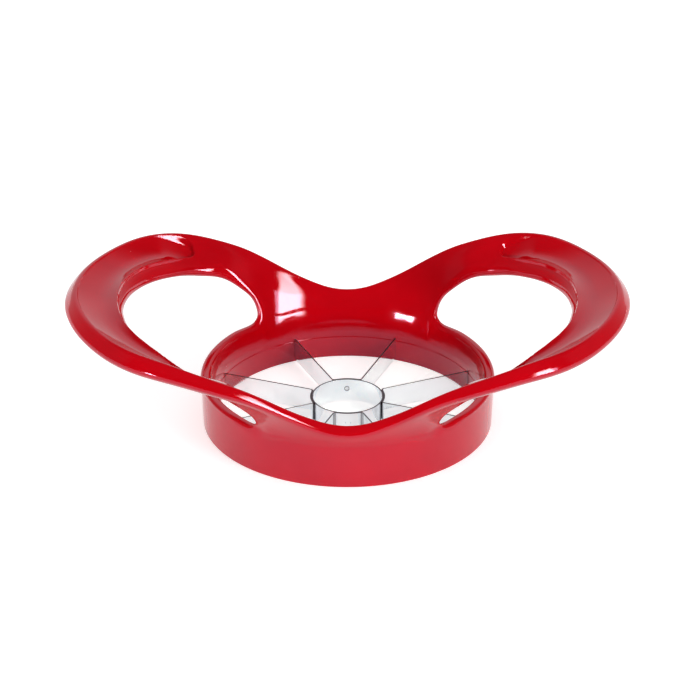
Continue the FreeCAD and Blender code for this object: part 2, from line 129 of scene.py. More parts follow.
def through(points, rounds=60):
    """Control points of closed cubic splines that run through the points of the first axis."""
    poles = points.copy()
    for _ in range(rounds):
        poles += points - (np.roll(poles, 1, 0) + 4 * poles + np.roll(poles, -1, 0)) / 6
    return poles


def at_radius(point, radius):
    """The point at the same angle and height, moved to a distance from the Z axis."""
    share = radius / math.hypot(point[0], point[1])
    return np.array([point[0] * share, point[1] * share, point[2]])


def bowl_radius(z, share=1.0):
    """Inside of the saddle walls: the flare of the skirt, opening like a bowl above it."""
    rise = np.maximum(0, z - SKIRT_TOP)
    at = np.clip((z - BAND_TOP) / (SKIRT_TOP - BAND_TOP), 0, 1)
    flare = (FLARE_RADIUS - BAND_RADIUS) * at * (1 + FLARE_CURVE * at) / (1 + FLARE_CURVE)
    return BAND_RADIUS + (flare + BOWL_SLOPE * rise + BOWL_BEND * rise ** 2) * share


def side_radius(z):
    """Outside of the skirt, drafted towards the foot."""
    return FOOT_RADIUS + (TOP_RADIUS - FOOT_RADIUS) * np.clip(z / SKIRT_TOP, 0, 1)


def outer_radius(z, under, start, bend):
    """Outside of the saddle walls: flush with the skirt, then swept out to the underside of the rim."""
    share = max(0.0, (z - start) / (under[2] - start))
    return side_radius(z) + (math.hypot(under[0], under[1]) - side_radius(z)) * share ** bend


def control_sections():
    """Control points of the closed section at each station, from the opening edge over the crest."""
    crest, upper, lower = np.array(STATIONS).transpose(1, 0, 2)
    loop = four_quarters(crest)
    up = np.array([0.0, 0.0, 1.0])
    rows = []
    for k in range(len(STATIONS)):
        run = loop[k + 1] - loop[k - 1]
        out = np.array([run[1], -run[0], 0]) / math.hypot(run[0], run[1])
        c, t, b = crest[k], upper[k], lower[k]
        edge = c + out * RIM_OUT[k] - up * RIM_DOWN[k]
        under = edge - out * RIM_OUT[k] * RIM_BACK[k] - up * RIM_DOWN[k] * RIM_UNDER
        share = BOWL_SHARE.get(k, 1.0)
        into = (c - t) * [1, 1, 1 if k >= FIRST_BOWL else 0]
        into *= EDGE_ROLL[k] / np.linalg.norm(into)
        bulge = into * FACE_BULGE
        edges = [t + (b - t) * FACE_SHARE - bulge, b + (t - b) * FACE_SHARE - bulge]
        t, b = t + into, b + into
        inside = [t + (c - t) * part for part in INSIDE_SHARES]
        outside = [under + (b - under) * part for part in OUTSIDE_SHARES]
        if k >= FIRST_BOWL:
            inside = [at_radius(p, bowl_radius(p[2], share)) for p in inside]
        if FIRST_BOWL <= k <= FIRST_SUNK:
            t = at_radius(t, bowl_radius(t[2], share))
        if k >= FIRST_SUNK:
            outside = [at_radius(p, outer_radius(p[2], under, SWEEP_FROM[k], SWEEP_BEND[k])) for p in outside]
        rim = [c + (t - c) * CREST_SHARE, c, c + (edge - c) / 2, edge, under]
        rows.append([edges[0], t] + inside + rim + outside + [b, edges[1]])
    return np.array(rows)


SECTION = control_sections()
POINTS = SECTION.shape[1]       # control points round a section
UPPER_EDGE, LOWER_EDGE = 1.0, 13.0     # section parameters of the two edges of the opening
POLES = through(np.stack([four_quarters(SECTION[:, j]) for j in range(POINTS)], 1))


def spline_weights(at, count):
    """Weights of the control points of a closed cubic spline at each parameter."""
    at = np.asarray(at, float)
    first = np.floor(at).astype(int)
    f = at - first
    before, after = (1 - f) ** 3, f ** 3
    four = np.stack([before, 3 * f ** 3 - 6 * f ** 2 + 4, -3 * f ** 3 + 3 * f ** 2 + 3 * f + 1, after], -1)
    weights = np.zeros(at.shape + (count,))
    for step in range(4):
        place = ((first - 1 + step) % count)[..., None]
        np.put_along_axis(weights, place, four[..., step:step + 1] / 6, -1)
    return weights


def skin(u, v):
    """Points of the skin: v holds one row of section parameters for each station parameter in u."""
    sections = np.einsum("ck,kjx->cjx", spline_weights(u, AROUND), POLES)
    return np.einsum("crj,cjx->crx", spline_weights(v, POINTS), sections)


# ---------------------------------------------------------------- the palm recess and the shelf beside it
PALM_STATIONS = 5.75        # the recess ends here, to both sides of the end of the handle
PALM_ROUND_FROM = 4.1       # and its outline starts to close here
PALM_ROUNDNESS = 2.6        # of the outline's closed ends: 2 would be an ellipse
PALM_LOW, PALM_HIGH = 1.25, 5.35    # section parameters of its two long lips
PALM_LOW_END = 1.0          # the inner lip comes closer to the opening at the end of the handle,
PALM_LOW_FADE = 2.5         # over this many stations
# For the inner lip, the outer lip and the two ends of the recess: share of the depth that falls off at the
# lip, millimetres over which it falls, and millimetres over which the rest falls.
PALM_INNER, PALM_OUTER, PALM_END = (0.05, 1.0, 7.5), (0.16, 0.35, 11.0), (0.8, 1.3, 5.0)
PALM_END_FROM, PALM_END_FADE = 4.3, 0.9     # the lips turn into ends from this station on, over this many
LIP_STEPS, LIP_END_STEPS = 160, 60          # points along half a lip, and along its closing end
LIP_END_POWER = 0.8                         # sets them closer where the outline turns
SHELF_STEP = 1.4            # the shelf between the recess and the opening lies this much below the lip
SHELF_WIDTH = 0.35          # the step down to it is this wide
SHELF_FADE = 1.6            # the step gets lower over this many stations, to nothing at PALM_STATIONS
SHELF_RUN_OUT = 2.0         # section parameters over which it runs out towards the underside
SHELF_STEPS = 220           # points along its lip


def palm_outline(u):
    """Section parameters of the two lips of the recess at a station."""
    share = np.clip((u - PALM_ROUND_FROM) / (PALM_STATIONS - PALM_ROUND_FROM), 0, 1)
    low = PALM_LOW_END + (PALM_LOW - PALM_LOW_END) * smooth(u / PALM_LOW_FADE)
    half = (PALM_HIGH - low) / 2 * (1 - share ** PALM_ROUNDNESS) ** (1 / PALM_ROUNDNESS)
    middle = (PALM_HIGH + low) / 2
    return middle - half, middle + half


def palm_drop(u, v, points):
    """How deep the recess is at each point of the handle, from the distance to its lips."""
    turn = np.linspace(0, math.pi / 2, LIP_END_STEPS)
    closing = PALM_ROUND_FROM + (PALM_STATIONS - PALM_ROUND_FROM) * np.sin(turn) ** LIP_END_POWER
    stations = np.concatenate([np.linspace(0, PALM_ROUND_FROM, LIP_STEPS), closing])
    low, high = palm_outline(stations)
    lips = [(skin(stations, at[:, None])[:, 0], side) for at, side in ((low, PALM_INNER), (high, PALM_OUTER))]
    drop = np.zeros(points.shape[:2])
    for column, station in enumerate(u):
        low, high = palm_outline(station)
        inside = (station < PALM_STATIONS) & (v[column] > low) & (v[column] < high)
        if inside.any():
            drop[column, inside] = PALM_DEPTH
            at_end = smooth((station - PALM_END_FROM) / PALM_END_FADE)
            for lip, side in lips:
                share, width, reach = np.array(side) * (1 - at_end) + np.array(PALM_END) * at_end
                distance = nearest(points[column][inside], lip)
                fall = 1 - (1 - np.clip(distance / reach, 0, 1)) ** 2
                drop[column, inside] *= share * smooth(distance / width) + (1 - share) * fall
    return drop


def shelf_drop(u, v, points):
    """How far the skin is stepped down between the inner lip of the recess and the opening.

    Section parameters below UPPER_EDGE lie on the edge of the opening."""
    stations = np.linspace(0, PALM_STATIONS, SHELF_STEPS)
    lip = skin(stations, palm_outline(stations)[0][:, None])[:, 0]
    drop = np.zeros(points.shape[:2])
    for column, station in enumerate(u):
        shelf = (station < PALM_STATIONS) & (v[column] < palm_outline(station)[0])
        if shelf.any():
            step = SHELF_STEP * smooth(nearest(points[column][shelf], lip) / SHELF_WIDTH)
            run_out = smooth((v[column][shelf] - LOWER_EDGE + POINTS) / SHELF_RUN_OUT)
            drop[column, shelf] = step * run_out * smooth((PALM_STATIONS - station) / SHELF_FADE)
    return drop


# ---------------------------------------------------------------- the grid of the moulding
CROTCH = 9.85           # station at which the handle loop leaves the wall of the skirt
EDGE_STEPS = 20         # grid steps across the edge of the opening, and over the top of the skirt
SIDE_STEPS, BORE_STEPS, BAND_STEPS, FLARE_POINTS = 18, 9, 3, 12     # down the skirt's outside, up its inside
FOOT_STEPS = 4          # across each rounding of its foot
BAND_EASE = 0.25        # no points are this close to the start of the flare, which eases it
INNER_FOOT, OUTER_FOOT = (UPPER_EDGE, 4.0), (10.0, LOWER_EDGE)      # a section meets the skirt's top in these
KEPT_ROWS = (4.5, 9.0)  # rows between these section parameters stay where they are
CORNER_REACH = 13.0     # millimetres round the corner of the opening that are rounded off
HALF_WALL = 1.6         # the wall's inside is told from its outside by this distance from the bowl
CREST_FIT = 0.99994     # keeps the finer surface within the height of the frame
ON_SEAM = 0.001         # points this close to a mirror plane lie on it, in millimetres


def spaced(shade_stripes):
    """Parameters from first to last mark; each mark holds (value, step from here on)."""
    runs = []
    for (start, step), (end, _) in zip(shade_stripes, shade_stripes[1:]):
        runs.append(np.linspace(start, end, max(1, round(abs(end - start) / step)), endpoint=False))
    return np.concatenate(runs + [[shade_stripes[-1][0]]])


HANDLE_STATIONS = spaced([(0.0, 0.1), (4.0, 0.03), (6.0, 0.08), (CROTCH, 0.08)])
WALL_STATIONS = spaced([(CROTCH, 0.08), (11.0, 0.07), (LAST, 0.1)])
SKIRT_SHARES = spaced([(1.0, 0.009), (0.9, 0.018), (0.0, 0.018)])
SIDE_ROWS = spaced([(UPPER_EDGE, 0.05), (1.8, 0.035), (2.3, 0.1), (4.9, 0.035), (5.5, 0.1), (9.5, 0.12),
                    (LOWER_EDGE, 0.1)])
EDGE_ROWS = np.linspace(LOWER_EDGE, UPPER_EDGE + POINTS, EDGE_STEPS + 1)[1:-1]


def where_at_skirt_top(u, low, high, halvings=30):
    """Section parameter at which each section crosses the height of the skirt's top, between low and high."""
    a, b = np.full(u.shape, low), np.full(u.shape, high)
    rising = skin(u, b[:, None])[:, 0, 2] > skin(u, a[:, None])[:, 0, 2]
    for _ in range(halvings):
        middle = (a + b) / 2
        above = skin(u, middle[:, None])[:, 0, 2] > SKIRT_TOP
        a, b = np.where(above != rising, middle, a), np.where(above != rising, b, middle)
    return (a + b) / 2


def side_parameters(u):
    """Section parameters of the rows from the inner foot of the wall over the crest to its outer foot."""
    low = where_at_skirt_top(u, *INNER_FOOT)[:, None]
    high = where_at_skirt_top(u, *OUTER_FOOT)[:, None]
    keep_from, keep_to = KEPT_ROWS
    rows = np.tile(SIDE_ROWS, (len(u), 1))
    pull_low = np.clip((keep_from - rows) / (keep_from - UPPER_EDGE), 0, 1) * (low - UPPER_EDGE)
    pull_high = np.clip((rows - keep_to) / (LOWER_EDGE - keep_to), 0, 1) * (high - LOWER_EDGE)
    return rows + pull_low + pull_high


def arc(centre, radius, start, end, steps):
    """Points of a round corner in the plane of radius and height; angles in degrees."""
    turn = np.radians(np.linspace(start, end, steps + 1))
    return [(centre[0] + radius * math.cos(t), centre[1] + radius * math.sin(t)) for t in turn]


def line(a, b, steps):
    """Points after a, up to and including b."""
    a, b = np.array(a), np.array(b)
    return [tuple(a + (b - a) * i / steps) for i in range(1, steps + 1)]


def skirt_side():
    """Radius and height down the outside of the skirt, under its foot and up its inside."""
    top = SKIRT_TOP - TOP_ROUND
    start = (side_radius(top), top)
    foot_out = arc((side_radius(FOOT_ROUND) - FOOT_ROUND, FOOT_ROUND), FOOT_ROUND, 0, -90, FOOT_STEPS)
    foot_in = arc((BORE_RADIUS + FOOT_ROUND, FOOT_ROUND), FOOT_ROUND, -90, -180, FOOT_STEPS)
    bore = line(foot_in[-1], (BORE_RADIUS, LEDGE - 0.12), BORE_STEPS)
    # Points a few hundredths from the two corners of the ledge ease them.
    ledge = [(BORE_RADIUS + 0.02, LEDGE - 0.04), (BORE_RADIUS + 0.06, LEDGE),
             (BAND_RADIUS - 0.02, LEDGE + 0.02), (BAND_RADIUS, LEDGE + 0.1)]
    band = line(ledge[-1], (BAND_RADIUS, BAND_TOP - BAND_EASE), BAND_STEPS)
    flare = [(bowl_radius(z), z) for z in np.linspace(BAND_TOP + BAND_EASE, top, FLARE_POINTS)]
    outside = [start] + line(start, foot_out[0], SIDE_STEPS)
    return np.array(outside + foot_out[1:] + foot_in + bore + ledge + band + flare)


def under_wall(side, column):
    """The profile of the skirt under a column of the saddle wall, led over to the wall on both sides."""
    foot = np.argmin(side[:, 1])
    radius, height = side[:, 0].copy(), side[:, 1]
    swept = math.hypot(column[-1][0], column[-1][1]) - TOP_RADIUS
    rise = (height[:foot] - SWEEP_FROM[LAST]) / (SKIRT_TOP - SWEEP_FROM[LAST])
    radius[:foot] += swept * np.clip(rise, 0, 1) ** SWEEP_BEND[LAST]
    opened = (math.hypot(column[0][0], column[0][1]) - BAND_RADIUS) / (FLARE_RADIUS - BAND_RADIUS)
    flared = (np.arange(len(side)) > foot) & (height > BAND_TOP)
    radius[flared] = BAND_RADIUS + (radius[flared] - BAND_RADIUS) * opened
    return np.stack([radius, height], 1)


def skirt_over():
    """Radius and height over the top of the skirt, from its inside to its outside."""
    top, steps = SKIRT_TOP - TOP_ROUND, EDGE_STEPS // 2
    rise = arc((bowl_radius(top) + TOP_ROUND, top), TOP_ROUND, 180, 90, steps)
    fall = arc((TOP_RADIUS - TOP_ROUND, top), TOP_ROUND, 90, 0, steps)
    return np.array(rise[1:] + line(rise[-1], fall[0], 2) + fall[1:-1])


def turned(profile, angles):
    """Points of a profile, each row at its own angle about the Z axis."""
    return np.stack([profile[:, 0] * np.cos(angles), profile[:, 0] * np.sin(angles), profile[:, 1]], -1)


def angle_of(point):
    """Angle of a point about the Z axis."""
    return math.atan2(point[1], point[0])


class Grid:
    """Bands of quads that share columns of vertices."""

    def __init__(self):
        self.points = []
        self.faces = []

    def add(self, points):
        """Store a column of points and return their numbers."""
        start = len(self.points)
        self.points.extend(map(list, points))
        return list(range(start, start + len(points)))

    def band(self, columns):
        """Quads between neighbouring closed columns of vertex numbers."""
        for a, b in zip(columns, columns[1:]):
            for i in range(len(a)):
                self.faces.append((a[i], b[i], b[i - 1], a[i - 1]))


def handle_skin():
    """Columns of points over the handle loop, with recess and shelf, and across the edge of its opening."""
    rows = side_parameters(HANDLE_STATIONS)
    handle = skin(HANDLE_STATIONS, rows)
    handle[..., 2] -= palm_drop(HANDLE_STATIONS, rows, handle) + shelf_drop(HANDLE_STATIONS, rows, handle)
    edge_rows = np.tile(EDGE_ROWS, (len(HANDLE_STATIONS), 1))
    edge = skin(HANDLE_STATIONS, edge_rows)
    edge[..., 2] -= shelf_drop(HANDLE_STATIONS, edge_rows - POINTS, edge)
    return handle, edge


def quarter_grid():
    """Points and faces of one quarter of the moulding, and the numbers of the points at the corner between
    handle loop, saddle wall and skirt."""
    grid = Grid()
    handle, edge = handle_skin()
    wall = skin(WALL_STATIONS, side_parameters(WALL_STATIONS))
    side, over = skirt_side(), skirt_over()
    turn = smooth(np.linspace(0, 1, len(side)))
    turn_over = np.linspace(1, 0, len(over))

    walls, skirts = [], []
    for column in wall:
        inner, outer = angle_of(column[0]), angle_of(column[-1])
        walls.append(grid.add(column))
        skirts.append(grid.add(turned(under_wall(side, column), outer + (inner - outer) * turn)))
    grid.band([a + b for a, b in zip(walls, skirts)])

    inner, outer = angle_of(wall[0][0]), angle_of(wall[0][-1])
    natural = turned(over, outer + (inner - outer) * turn_over)[::-1]
    crotch = grid.add((natural[1:-1] + edge[-1]) / 2)
    handles = [grid.add(column) + grid.add(edges) for column, edges in zip(handle[:-1], edge[:-1])]
    grid.band(handles + [walls[0] + crotch])

    rings = [skirts[0] + walls[0][:1] + crotch[::-1] + walls[0][-1:]]
    for share in SKIRT_SHARES[1:]:
        below = turned(side, share * (outer + (inner - outer) * turn))
        above = turned(over, share * (outer + (inner - outer) * turn_over))
        rings.append(grid.add(below) + grid.add(above))
    grid.band([ring[::-1] for ring in rings])
    return np.array(grid.points), np.array(grid.faces), crotch + walls[0][:1] + walls[0][-1:]


def relax(points, faces, corner, rounds=180, last=12, pull=0.5):
    """Round off the corner of the opening.

    Vertices near the corner slide along the wall towards the middle of their neighbours, and in the last
    rounds the wall is smoothed through its thickness too."""
    weight = pull * smooth(1 - nearest(points, points[corner]) / CORNER_REACH)[:, None]
    ends = np.concatenate([faces[:, [i, (i + 1) % 4]] for i in range(4)])
    ends = np.unique(np.sort(ends, 1), axis=0)
    count = np.bincount(ends.ravel(), minlength=len(points))[:, None]
    height, radius = points[:, 2], np.hypot(points[:, 0], points[:, 1])
    inner = radius < bowl_radius(height) + HALF_WALL

    def lean(z):
        """How far out the wall leans at a height; the outside of the skirt is taken as upright."""
        return bowl_radius(np.where(inner, z, np.maximum(z, SKIRT_TOP)))

    place = np.stack([np.arctan2(points[:, 1], points[:, 0]) * TOP_RADIUS, height, radius - lean(height)], 1)
    for step in range(rounds):
        total = np.zeros_like(place)
        np.add.at(total, ends[:, 0], place[ends[:, 1]])
        np.add.at(total, ends[:, 1], place[ends[:, 0]])
        place += weight * (total / count - place) * [1, 1, 1 if step >= rounds - last else 0]
    radius, angle = place[:, 2] + lean(place[:, 1]), place[:, 0] / TOP_RADIUS
    return np.stack([radius * np.cos(angle), radius * np.sin(angle), place[:, 1]], 1)


def whole_moulding():
    """Mirror the quarter twice and weld the seams."""
    points, faces, corner = quarter_grid()
    points = relax(points, faces, corner)
    points[:, 2] *= CREST_FIT
    for axis in (0, 1):
        flat = np.abs(points[:, axis]) < ON_SEAM
        points[flat, axis] = 0
        mirrored = points.copy()
        mirrored[:, axis] *= -1
        number = np.arange(len(points)) + len(points)
        number[flat] = np.flatnonzero(flat)
        faces = np.concatenate([faces, number[faces][:, ::-1]])
        points = np.concatenate([points, mirrored])
    used = np.unique(faces)
    place = np.full(len(points), -1)
    place[used] = np.arange(len(used))
    return points[used], place[faces].tolist()


# ---------------------------------------------------------------- sizes of the steel, in millimetres
CORE_OUTER = 12.5
SHEET = 0.5             # thickness of the core tube and of the blades
BLADE_FOOT, BLADE_TOP = 0.8, 8.8
GRIND = 1.2             # height of the ground cutting edge
GRIND_EASE = (0.01, 0.05)       # its upper corner is eased by this much, across and up
LAND = 0.1              # thickness left at the cutting edge
BEND = 0.7              # inside radius of the bends
EDGE_BREAK = 0.09       # rounding of the sheared edges
BREAK_MARGIN = 0.03     # a row of points this far below the rounding keeps it tight
ROW_MARGIN = 0.3        # the even rows of points stay this far from the edges,
FOOT_MARGIN = 0.2       # and inside the tube this far from its foot
BLADE_END = 48.6        # blades run this far from the middle, into the plastic
HALF_STEP = math.radians(22.5)      # eight blades stand evenly round the core
BLADE_TURN = math.radians(1.0)      # the whole set is turned in the frame
SIDES = {"right": 0, "back": 90, "left": 180, "front": 270}
STRIP_PITCH = 90        # a strip is shorter than this; each strip's map starts at its own multiple of it
BLADE_ROWS, CORE_ROWS, BREAK_STEPS = 18, 36, 3
WING_STEPS, BEND_STEPS, SADDLE_STEPS, CORE_STEPS = 60, 12, 48, 384
WELD_HEIGHT, WELD_RADIUS, WELD_DIMPLE = 5.2, 1.2, 0.12
WELD_SPREAD = 1.25      # the dent round a weld ends at this many times its radius
WELD_IN_DIMPLE = 0.8    # the nugget's faces lie at this share of the dimple's depth
WELD_FACE = [(0.0, -0.01), (0.6, -0.02), (0.84, -0.07), (0.96, -0.07), (1.12, 0.04)]    # radius, depth
WELD_STEPS = 28


def mesh_object(name, points, faces, sheet=None):
    """A smooth-shaded mesh from points in millimetres; sheet holds their places on the map of that name."""
    mesh = bpy.data.meshes.new(name)
    mesh.from_pydata((points * MM).tolist(), [], faces)
    mesh.polygons.foreach_set("use_smooth", [True] * len(mesh.polygons))
    if sheet is not None:
        corner = [loop.vertex_index for loop in mesh.loops]
        mesh.uv_layers.new(name="sheet").data.foreach_set("uv", sheet[corner].ravel())
    mesh.update()
    piece = bpy.data.objects.new(name, mesh)
    bpy.context.scene.collection.objects.link(piece)
    return piece


def quads_between(rings, size):
    """Quads between neighbouring closed rings of so many points each."""
    number = np.arange(rings * size).reshape(rings, size)
    a, b = number[:-1], number[1:]
    return np.stack([np.roll(a, -1, 1), np.roll(b, -1, 1), b, a], -1).reshape(-1, 4).tolist()


def swept_sheet(name, rings, run, heights):
    """A closed sheet from rings of points, with a map of millimetres along and up the sheet."""
    columns, rows = rings.shape[:2]
    points = rings.reshape(-1, 3)
    ends = [list(range(rows))[::-1], list(range(len(points) - rows, len(points)))]
    sheet = np.stack([np.repeat(run, rows), np.tile(heights, columns)], 1)
    return mesh_object(name, points, quads_between(columns, rows) + ends, sheet)


def ground_corner(face):
    """The eased upper corner of the ground edge, upwards; face is the distance across at the sheet's face."""
    across, up = GRIND_EASE
    return [(face - across, BLADE_FOOT + GRIND - up), (face, BLADE_FOOT + GRIND + up)]


def edge_section():
    """Offset across the sheet and height round the section of a blade, from the cutting edge up and over."""
    half, low, high = SHEET / 2, BLADE_FOOT + GRIND + ROW_MARGIN, BLADE_TOP - ROW_MARGIN
    side = [(LAND / 2, BLADE_FOOT)] + ground_corner(half)
    side += [(half, z) for z in np.linspace(low, high, BLADE_ROWS)]
    side += [(half, BLADE_TOP - EDGE_BREAK - BREAK_MARGIN)]
    side += arc((half - EDGE_BREAK, BLADE_TOP - EDGE_BREAK), EDGE_BREAK, 0, 90, BREAK_STEPS)
    return np.array(side + [(-x, z) for x, z in side[::-1]])


def strip_path():
    """Middle line of a blade strip seen from above, with its unit normals and its running length."""
    mid = CORE_OUTER + SHEET / 2
    bend_at, bend_off = CORE_OUTER + SHEET + BEND, SHEET / 2 + BEND
    lean = math.asin(bend_off / bend_at)
    turn = HALF_STEP - lean

    def toward(angle):
        return np.array([math.cos(angle), math.sin(angle)])

    wing = [toward(HALF_STEP) * r for r in np.linspace(BLADE_END, bend_at * math.cos(lean), WING_STEPS)]
    bend = [bend_at * toward(turn) + bend_off * toward(t)
            for t in np.linspace(HALF_STEP + math.pi / 2, math.pi + turn, BEND_STEPS + 1)[1:]]
    saddle = [mid * toward(t) for t in np.linspace(turn, -turn, SADDLE_STEPS + 1)[1:]]
    half = wing + bend
    points = np.array(half + saddle + [p * [1, -1] for p in half[::-1][1:]])
    run = np.gradient(points, axis=0)
    run /= np.linalg.norm(run, axis=1)[:, None]
    length = np.concatenate([[0], np.cumsum(np.linalg.norm(np.diff(points, axis=0), axis=1))])
    return points, np.stack([-run[:, 1], run[:, 0]], 1), length


def weld_dent(across, z):
    """Depth of the dent that the welding tip leaves, at a distance along the sheet and a height."""
    distance = np.sqrt(across ** 2 + (z - WELD_HEIGHT) ** 2) / WELD_RADIUS
    return WELD_DIMPLE * smooth(WELD_SPREAD - distance)


def blade_strip(side, degrees):
    """A strip bent to a U: its middle lies on the core tube, its ends are two blades."""
    points, normals, length = strip_path()
    section = edge_section()
    place = points[:, None] + normals[:, None] * section[None, :, :1]
    height = np.tile(section[:, 1], (len(points), 1))
    middle = length[-1] / 2
    outside = section[None, :, 0] < 0
    dent = np.where(outside, weld_dent(length[:, None] - middle, height), 0)
    place += normals[:, None] * dent[..., None]
    turn = math.radians(degrees) + BLADE_TURN
    rotate = np.array([[math.cos(turn), math.sin(turn)], [-math.sin(turn), math.cos(turn)]])
    rings = np.concatenate([place @ rotate, height[..., None]], -1)
    start = list(SIDES).index(side) * STRIP_PITCH
    return swept_sheet(f"strip_{side}", rings, length + start, section[:, 1])


def core_tube():
    """The core cutter, with a ground foot and a dent inside at each weld."""
    inner, top, broken = CORE_OUTER - SHEET, BLADE_TOP, BLADE_TOP - EDGE_BREAK
    rise = [(inner, BLADE_FOOT)]
    rise += [(inner, z) for z in np.linspace(BLADE_FOOT + FOOT_MARGIN, top - ROW_MARGIN, CORE_ROWS)]
    rise += [(inner, broken - BREAK_MARGIN)]
    rise += arc((inner + EDGE_BREAK, broken), EDGE_BREAK, 180, 90, BREAK_STEPS)
    fall = arc((CORE_OUTER - EDGE_BREAK, broken), EDGE_BREAK, 90, 0, BREAK_STEPS)
    fall += ground_corner(CORE_OUTER)[::-1] + [(inner + LAND, BLADE_FOOT)]
    profile = np.array(rise + fall)
    rings = []
    for angle in np.linspace(0, 2 * math.pi, CORE_STEPS + 1):
        off_weld = (angle - BLADE_TURN + math.pi / 4) % (math.pi / 2) - math.pi / 4
        dent = weld_dent(off_weld * inner, profile[:, 1]) * (profile[:, 0] < inner + SHEET / 10)
        rings.append(turned(np.stack([profile[:, 0] + dent, profile[:, 1]], 1), np.full(len(profile), angle)))
    run = np.linspace(0, 2 * math.pi * CORE_OUTER, CORE_STEPS + 1)
    return swept_sheet("core", np.array(rings), run, profile[:, 1])


def merge_points(mesh):
    """Merge points that lie on each other, as in the middle of a weld's faces."""
    merged = bmesh.new()
    merged.from_mesh(mesh)
    bmesh.ops.remove_doubles(merged, verts=merged.verts, dist=1e-9)
    merged.to_mesh(mesh)
    merged.free()


def spot_weld(side, degrees):
    """The fused spot between the tube and a strip: a round nugget with a raised rim on both faces.

    Its map, of the same name as the sheets', holds the distance from its middle."""
    inner = CORE_OUTER - SHEET + WELD_DIMPLE * WELD_IN_DIMPLE
    outer = CORE_OUTER + SHEET - WELD_DIMPLE * WELD_IN_DIMPLE
    face = [(radius, inner + deeper) for radius, deeper in WELD_FACE]
    profile = face + [(radius, inner + outer - depth) for radius, depth in face[::-1]]
    turn = math.radians(degrees) + BLADE_TURN
    points = []
    for radius, depth in profile:
        for angle in np.linspace(0, 2 * math.pi, WELD_STEPS, endpoint=False):
            across, up = radius * math.cos(angle), radius * math.sin(angle)
            points.append((depth * math.cos(turn) - across * math.sin(turn),
                           depth * math.sin(turn) + across * math.cos(turn), WELD_HEIGHT + up))
    from_middle = np.repeat([radius for radius, _ in profile], WELD_STEPS)
    sheet = np.stack([from_middle, 0 * from_middle], 1)
    weld = mesh_object(f"weld_{side}", np.array(points), quads_between(len(profile), WELD_STEPS), sheet)
    merge_points(weld.data)
    return weld


# ---------------------------------------------------------------- nodes
def fill(tree, made, inputs):
    """Set a node's sockets, each to a number, a vector or a colour, or linked to another node's output."""
    for key, value in inputs.items():
        socket = made.inputs[key]
        if isinstance(value, bpy.types.NodeSocket):
            tree.links.new(value, socket)
        elif socket.type == "RGBA":
            socket.default_value = (*value, 1.0)
        else:
            socket.default_value = value


def node(tree, kind, inputs=None, **settings):
    """A new node with its settings and sockets."""
    made = tree.nodes.new(kind)
    for key, value in settings.items():
        setattr(made, key, value)
    fill(tree, made, inputs or {})
    return made


def new_material(name):
    """A material with its node tree and its shader."""
    material = bpy.data.materials.new(name)
    material.use_nodes = True
    tree = material.node_tree
    return material, tree, tree.nodes["Principled BSDF"]


def noise(tree, source, scale, detail, roughness=0.55):
    """A noise texture on the places that the source gives."""
    made = node(tree, "ShaderNodeTexNoise",
                {"Vector": source, "Scale": scale, "Detail": detail, "Roughness": roughness})
    return made.outputs["Fac"]


def ranged(tree, source, span, result=(0, 1)):
    """Map a value from a span to a result, and hold it at the ends."""
    made = node(tree, "ShaderNodeMapRange", {"Value": source, "From Min": span[0], "From Max": span[1],
                                             "To Min": result[0], "To Max": result[1]})
    return made.outputs["Result"]


def calculated(tree, operation, *values):
    """A Math node on sockets and numbers."""
    return node(tree, "ShaderNodeMath", dict(enumerate(values)), operation=operation).outputs[0]


def blended(tree, factor, low, high):
    """Mix two colours, each a tuple or a socket, by a factor socket."""
    # With this data type the node's colours are its sockets 6 and 7, and its result is output 2.
    return node(tree, "ShaderNodeMix", {0: factor, 6: low, 7: high}, data_type="RGBA").outputs[2]


def chosen(tree, factor, low, high):
    """Mix two values, each a number or a socket, by a factor socket."""
    return node(tree, "ShaderNodeMix", {0: factor, 2: low, 3: high}, data_type="FLOAT").outputs[0]


def bumped(tree, shader, height, distance, strength):
    """Give a shader a fine relief, of so many metres."""
    bump = node(tree, "ShaderNodeBump", {"Height": height, "Distance": distance, "Strength": strength})
    tree.links.new(bump.outputs["Normal"], shader.inputs["Normal"])


# ---------------------------------------------------------------- materials
RED, RED_DEEP = (0.55, 0.0006, 0.005), (0.49, 0.0004, 0.004)
RED_SHINE = (0.95, 0.6, 0.9)        # tint of its reflections
RED_ROUGHNESS, RED_IOR = (0.05, 0.10), 1.55
DUST = (0.78, 0.35, 0.36)
# EDGE_AND_SHADE_GREY is the dull grey of the sheared edges, and also the colour of the stripes of painted
# shade.
BLADE_TINT, CORE_TINT, EDGE_AND_SHADE_GREY = (0.88, 0.90, 0.92), (0.85, 0.87, 0.90), (0.16, 0.16, 0.18)
BLADE_GRAIN, CORE_GRAIN = (0.06, 9.0, 1.0), (0.05, 7.0, 1.0)    # lines per millimetre along and up the sheet
BLADE_ROUGHNESS, CORE_ROUGHNESS, EDGE_ROUGHER = (0.05, 0.14), (0.06, 0.15), 0.35
GRAIN_SHADE, SMUDGE_SHADE = 0.95, 0.8       # how much of its tint the steel keeps in its grain and smudges
WELD_BRIGHT, WELD_STRAW, WELD_BLUE = (0.74, 0.74, 0.76), (0.12, 0.11, 0.10), (0.2, 0.21, 0.24)
WELD_ROUGHNESS = (0.22, 0.45)
WELD_RING = (0.5, 0.85)     # the bright middle of a weld turns into its dark ring between these radii
# Stripes of painted shade: a painted dark reflection in the bends and a painted shadow where the blades go
# into the plastic. Half width, width of the soft sides, darkness.
BEND_SHADE, JOINT_SHADOW = (0.2, 0.45, 0.85), (0.12, 0.3, 0.8)
JOINT_GAP = 0.1             # the stripe at the plastic lies this far inside the ring's bore, in millimetres


